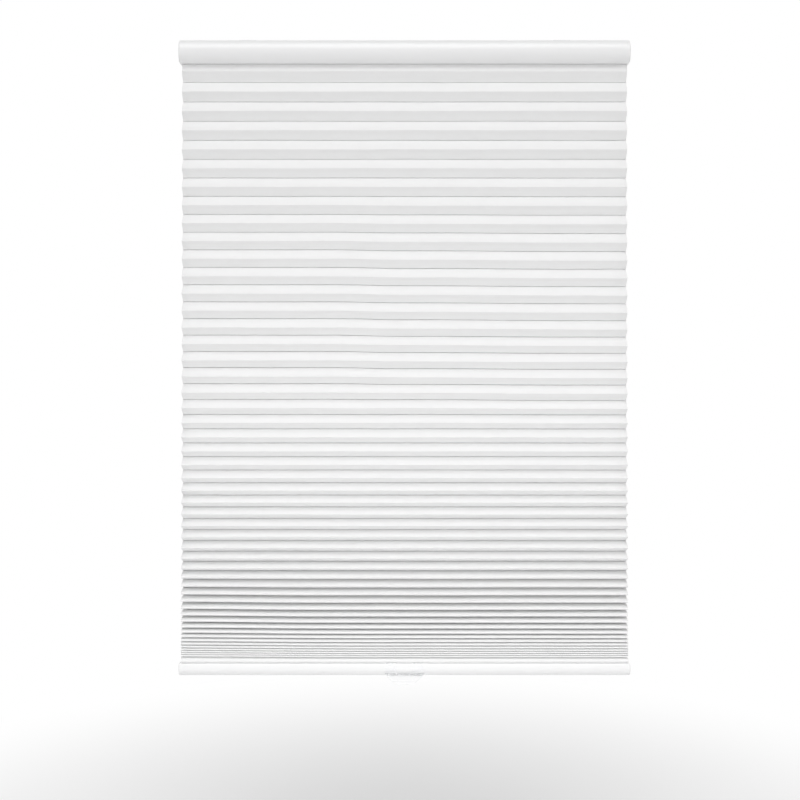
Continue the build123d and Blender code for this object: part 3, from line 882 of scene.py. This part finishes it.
def fold_wander(x, cell):
    """Random rise and lean of the front and back folds of a cell, at X."""
    wander = []
    for side in (1.0, -1.0):
        spot = Vector((x * WANDER_TURNS, cell * WANDER_STEP, side))
        apart = spot + Vector((WANDER_APART, 0.0, 0.0))
        wander.append((noise.noise(spot), noise.noise(apart)))
    return wander


def cell_vertices(settings, loop, columns, cell, reach, wander_size):
    """A loop of the cell's outline, repeated at each column, with the stray and wander of its folds."""
    vertices = []
    for x in columns:
        wander = fold_wander(x, cell)
        for y, z in loop:
            crest = smooth_share(abs(y) / reach - WANDER_START) * wander_size
            rise, lean = wander[0 if y < 0 else 1]
            outward = math.copysign(lean * crest, y)
            vertices.append((x, y + outward, z + stray(settings, x, z) + rise * crest))
    return vertices


def tube_faces(start, count, columns):
    """Faces of an open tube of cloth: its outside, its inside and the rim at each end."""
    faces = []
    shift = columns * count
    for point in range(count):
        after = (point + 1) % count
        for column in range(columns - 1):
            a = start + column * count + point
            b = start + column * count + after
            faces.append((a, b, b + count, a + count))
            faces.append((a + shift, a + shift + count, b + shift + count, b + shift))
        for column in (0, columns - 1):
            a = start + column * count + point
            b = start + column * count + after
            rim = (a, a + shift, b + shift, b)
            faces.append(rim[::-1] if column else rim)
    return faces


def strip_mesh(name, settings, cells, first_index):
    """Mesh of a strip of cells: each one a tube of cloth across the blind, open at both ends."""
    columns = np.linspace(-FABRIC_HALF, FABRIC_HALF, settings.columns + 1)
    vertices = []
    faces = []
    for number, outline in enumerate(cells):
        outer = np.array([tuple(point) for point in outline])
        inner = inner_outline(outer, settings.thickness)
        reach = np.abs(outer[:, 0]).max()
        wander_size = settings.unevenness * min(1.0, np.ptp(outer[:, 1]) / STEADY_HEIGHT)
        faces += tube_faces(len(vertices), len(outer), len(columns))
        for loop in (outer, inner):
            cell = first_index + number
            vertices += cell_vertices(settings, loop, columns, cell, reach, wander_size)
    mesh = bpy.data.meshes.new(name)
    mesh.from_pydata(vertices, [], faces)
    return mesh


class BLIND_OT_hang_fabric(bpy.types.Operator):
    """Makes the honeycomb fabric as strips of hollow cells between the two rails"""

    bl_idname = "blind.hang_fabric"
    bl_label = "Hang fabric"

    def execute(self, context):
        settings = context.scene.blind_fabric
        levels = cell_levels()
        weights = travel_weights(levels)
        pitch = levels[1] - levels[2]
        outlines = [
            hem_outline(
                settings,
                strip_z=HEAD_BOTTOM + RAIL_WALL,
                out_z=HEAD_BOTTOM + RAIL_WALL + HEM_HEIGHT,
                neck_z=HEAD_BOTTOM,
                fold_z=levels[1] + pitch / 2,
                reach=fold_reach(settings, pitch),
                glue_z=levels[1],
                radius=crease_radius(settings, pitch),
            )
        ]
        hanging = zip(levels[1:-2], levels[2:-1])
        outlines += [cell_outline(settings, top, low) for top, low in hanging]
        outlines.append(
            hem_outline(
                settings,
                strip_z=BOTTOM_TOP - RAIL_WALL,
                out_z=BOTTOM_TOP - RAIL_WALL - HEM_HEIGHT,
                neck_z=BOTTOM_TOP,
                fold_z=BOTTOM_TOP + LAST_CREASE + LAST_GAP,
                reach=fold_reach(settings, 2 * LAST_FOLD_DROP),
                glue_z=levels[-2],
                radius=LAST_CREASE,
            )
        )
        if sum(STRIP_CELLS) != len(outlines):
            raise RuntimeError("the strips don't hold as many cells as the blind")
        material = cloth_finish(settings.colour)
        first = 0
        for number, cells in enumerate(STRIP_CELLS):
            last = first + cells
            name = f"honeycomb_strip_{number + 1:02d}"
            mesh = strip_mesh(name, settings, outlines[first:last], first)
            strip = new_piece(name, mesh, material)
            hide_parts("fabric")
            time_high = time_at(weights[first])
            time_low = time_at(weights[last])
            span = (levels[last] - levels[first]) / (time_low - time_high)
            start_z = levels[first] - time_high * span
            start_z + span
            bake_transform(strip)
            first = last
        return {"FINISHED"}


def cord_curve(name, points, radius, material):
    """Round cord along a smooth line through the neighbourhood of its points."""
    curve = bpy.data.curves.new(name, "CURVE")
    curve.dimensions = "3D"
    curve.bevel_depth = radius
    curve.bevel_resolution = 3
    curve.use_fill_caps = True
    spline = curve.splines.new("NURBS")
    spline.points.add(len(points) - 1)
    for spot, point in zip(spline.points, points):
        spot.co = (*point, 1.0)
    spline.order_u = 3
    spline.use_endpoint_u = True
    spline.resolution_u = 6
    curve.materials.append(material)
    piece = bpy.data.objects.new(name, curve)
    bpy.context.scene.collection.objects.link(piece)
    return piece


def head_cord_points(side):
    """From the first turn on the spool, through the eyelet and over the pulley, to the rail's floor."""
    run = Vector((EYELET_X - SPOOL_X, -SPOOL_Y))
    leave = math.atan2(run.y, run.x) - math.acos(WIND_RADIUS / run.length)
    turns = (RUN_Z - WINDING_BOTTOM - FIRST_TURN) / WIND_PITCH
    steps = int(turns * WIND_STEPS)
    points = []
    for step in range(steps + 1):
        angle = leave - (steps - step) * 2 * math.pi / WIND_STEPS
        height = RUN_Z - (steps - step) / WIND_STEPS * WIND_PITCH
        x = SPOOL_X + WIND_RADIUS * math.cos(angle)
        y = SPOOL_Y + WIND_RADIUS * math.sin(angle)
        points.append((side * x, y, height))
    points.append((side * EYELET_X, 0.0, RUN_Z))
    points.append((side * (CORD_X - PULLEY_BEND), 0.0, RUN_Z))
    points.append((side * CORD_X, 0.0, RUN_Z))
    points.append((side * CORD_X, 0.0, RUN_Z - PULLEY_BEND))
    points.append((side * CORD_X, 0.0, HEAD_BOTTOM))
    return points


def straight_cord(name, x, top, low, radius, material):
    """Straight stretch of cord with rings at its two ends only, so that it stretches evenly."""
    vertices = []
    for z in (top, low):
        for step in range(CORD_SIDES):
            angle = 2 * math.pi * step / CORD_SIDES
            vertices.append((x + radius * math.cos(angle), radius * math.sin(angle), z))
    faces = []
    for step in range(CORD_SIDES):
        after = (step + 1) % CORD_SIDES
        faces.append((step, step + CORD_SIDES, after + CORD_SIDES, after))
    faces.append(tuple(range(CORD_SIDES)))
    faces.append(tuple(reversed(range(CORD_SIDES, 2 * CORD_SIDES))))
    mesh = bpy.data.meshes.new(name)
    mesh.from_pydata(vertices, [], faces)
    return new_piece(name, mesh, material)


def knot_points(side, level):
    """Overhand knot drawn up into a small ball."""
    points = []
    for step in range(KNOT_STEPS + 1):
        angle = 4 * math.pi * step / KNOT_STEPS
        swell = KNOT_RADIUS * (KNOT_MIDDLE + KNOT_SWELL * math.cos(KNOT_WAVE * angle))
        x = side * CORD_X + swell * math.cos(angle)
        y = swell * math.sin(angle)
        z = level + KNOT_HEIGHT * KNOT_RADIUS * math.sin(KNOT_WAVE * angle)
        points.append((x, y, z))
    return points


class BLIND_OT_string_cords(bpy.types.Operator):
    """Makes each lift cord: its turns and run in the head rail, its straight drop, and its knot"""

    bl_idname = "blind.string_cords"
    bl_label = "String lift cords"

    def execute(self, context):
        settings = context.scene.blind_cords
        material = cord_finish(settings.colour)
        knot_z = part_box("lift_cord_left")[0].z + KNOT_RADIUS
        for side, name in ((-1, "left"), (1, "right")):
            node = f"lift_cord_{name}"
            run = cord_curve(f"cord_run_{name}", head_cord_points(side), settings.radius, material)
            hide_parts(node)
            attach(run, "head")
            place = (side * CORD_X, HEAD_BOTTOM, knot_z)
            drop = straight_cord(f"cord_drop_{name}", *place, settings.radius, material)
            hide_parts(node)
            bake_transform(drop)
            turns = knot_points(side, knot_z)
            knot = cord_curve(f"cord_knot_{name}", turns, settings.radius, material)
            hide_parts(node)
            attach(knot, "bottom")
        return {"FINISHED"}


class BLIND_OT_finish_rails(bpy.types.Operator):
    """Paints both rails and moulds their end caps and the clear handle"""

    bl_idname = "blind.finish_rails"
    bl_label = "Finish rails"

    def execute(self, context):
        settings = context.scene.blind_finishes
        dress(["head_rail", "bottom_rail"], paint_finish(settings.paint))
        caps = [f"{rail}_end_cap_{side}" for rail in ("head", "bottom") for side in ("left", "right")]
        cap = moulded_finish("cap_plastic", settings.cap, roughness=0.38, grain_depth=0.00003)
        dress(caps, cap)
        dress(["handle"], clear_finish(settings.clear))
        return {"FINISHED"}


class BLIND_OT_finish_works(bpy.types.Operator):
    """Gives the lift unit, guides, brackets and weight their plastics and steels"""

    bl_idname = "blind.finish_works"
    bl_label = "Finish lift unit"

    def execute(self, context):
        settings = context.scene.blind_finishes
        pairs = [(kind, side) for kind in ("cord_guide", "cord_anchor") for side in ("left", "right")]
        housings = ["lift_tray", "lift_cover"] + [f"{kind}_{side}" for kind, side in pairs]
        matt = moulded_finish("unit_plastic", settings.housing, roughness=0.55, grain_depth=0.00005)
        dress(housings, matt)
        strips = ["fabric_top_strip", "fabric_bottom_strip"]
        plain = moulded_finish("strip_plastic", settings.strip, roughness=0.6, grain_depth=0.00003)
        dress(strips, plain)
        gears = ["spool_left", "spool_right", "output_drum", "storage_drum", "idler_gear"]
        gears += ["guide_pulley_left", "guide_pulley_right"]
        smooth = moulded_finish("gear_plastic", settings.gear, roughness=0.32, grain_depth=0.00002)
        dress(gears, smooth)
        dress(["power_spring"], spring_finish(settings.spring))
        plated = ["bracket_left", "bracket_right", "cover_screws", "ballast_bar"]
        plated += ["pulley_pin_left", "pulley_pin_right"]
        dress(plated, plated_finish(settings.steel))
        return {"FINISHED"}


def add_lamp(name, kind, place, aim, **settings):
    """Lamp of a kind at a place, turned to a point."""
    light = bpy.data.lights.new(name, kind)
    for setting, value in settings.items():
        setattr(light, setting, value)
    lamp = bpy.data.objects.new(name, light)
    lamp.location = place
    lamp.rotation_euler = (Vector(aim) - Vector(place)).to_track_quat("-Z", "Y").to_euler()
    bpy.context.scene.collection.objects.link(lamp)
    return lamp


class BLIND_OT_set_stage(bpy.types.Operator):
    """Places the camera, the lamps, the white background and the floor"""

    bl_idname = "blind.set_stage"
    bl_label = "Set stage"

    def execute(self, context):
        settings = context.scene.blind_stage
        scene = context.scene
        scene.view_settings.view_transform = "Standard"
        aim = (0.0, 0.0, settings.height)
        view = bpy.data.cameras.new("front_view")
        view.lens = settings.lens
        view.shift_x, view.shift_y = settings.shift
        camera = bpy.data.objects.new("front_view", view)
        camera.location = (0.0, -settings.distance, settings.height)
        camera.rotation_euler = (math.pi / 2, 0.0, 0.0)
        scene.collection.objects.link(camera)
        scene.camera = camera
        for name, strength, turn, rise in (
            ("key_left", settings.key, -settings.key_turn, settings.key_rise),
            ("key_right", settings.key, settings.key_turn, settings.key_rise),
            ("high_light", settings.high, 0.0, settings.high_rise),
            ("back_light", settings.back, BACK_TURN, BACK_RISES * settings.key_rise),
        ):
            level = math.cos(rise)
            away = Vector((level * math.sin(turn), -level * math.cos(turn), math.sin(rise)))
            place = Vector(aim) + LAMP_AWAY * away
            add_lamp(name, "SUN", place, aim, energy=strength, angle=settings.spread)
        place = (0.0, -FILL_LEAD, cad_low.z - FILL_DROP)
        shape = {"shape": "SQUARE", "size": settings.fill_size, "energy": settings.fill_power}
        fill = add_lamp("fill_lamp", "AREA", place, (0.0, 0.0, FILL_AIM), **shape)
        fill.visible_camera = False
        fill.visible_glossy = False
        world = bpy.data.worlds.new("soft_room")
        scene.world = world
        world_finish(world, settings.ambient)
        level = cad_low.z - settings.floor_drop
        mesh = bpy.data.meshes.new("floor")
        signs = ((-1, -1), (1, -1), (1, 1), (-1, 1))
        corners = [(x * FLOOR_REACH, y * FLOOR_REACH, level) for x, y in signs]
        mesh.from_pydata(corners, [], [(0, 1, 2, 3)])
        mesh.materials.append(floor_finish())
        floor = bpy.data.objects.new("floor", mesh)
        scene.collection.objects.link(floor)
        return {"FINISHED"}


class BLIND_PT_sidebar(bpy.types.Panel):
    """Steps that dress the blind, in order"""

    bl_idname = "BLIND_PT_sidebar"
    bl_label = "Honeycomb blind"
    bl_space_type = "VIEW_3D"
    bl_region_type = "UI"
    bl_category = "Blind"

    def draw(self, context):
        groups = (
            ("blind_stage", BLIND_OT_set_stage),
            ("blind_fabric", BLIND_OT_hang_fabric),
            ("blind_cords", BLIND_OT_string_cords),
            ("blind_finishes", BLIND_OT_finish_rails),
            ("blind_finishes", BLIND_OT_finish_works),
        )
        for group, operator in groups:
            box = self.layout.box()
            settings = getattr(context.scene, group)
            for name in settings.__annotations__:
                box.prop(settings, name)
            box.operator(operator.bl_idname)


GROUPS = {
    "blind_fabric": FabricSettings,
    "blind_finishes": FinishSettings,
    "blind_cords": CordSettings,
    "blind_stage": StageSettings,
}
CLASSES = (
    *GROUPS.values(),
    BLIND_OT_set_stage,
    BLIND_OT_hang_fabric,
    BLIND_OT_string_cords,
    BLIND_OT_finish_rails,
    BLIND_OT_finish_works,
    BLIND_PT_sidebar,
)


def register():
    for made in CLASSES:
        bpy.utils.register_class(made)
    for name, group in GROUPS.items():
        setattr(bpy.types.Scene, name, bpy.props.PointerProperty(type=group))


def unregister():
    for name in GROUPS:
        delattr(bpy.types.Scene, name)
    for made in reversed(CLASSES):
        bpy.utils.unregister_class(made)


def main():
    register()
    bpy.ops.blind.set_stage()
    bpy.ops.blind.string_cords()
    bpy.ops.blind.hang_fabric()
    bpy.ops.blind.finish_rails()
    bpy.ops.blind.finish_works()


if __name__ == "__main__":
    main()
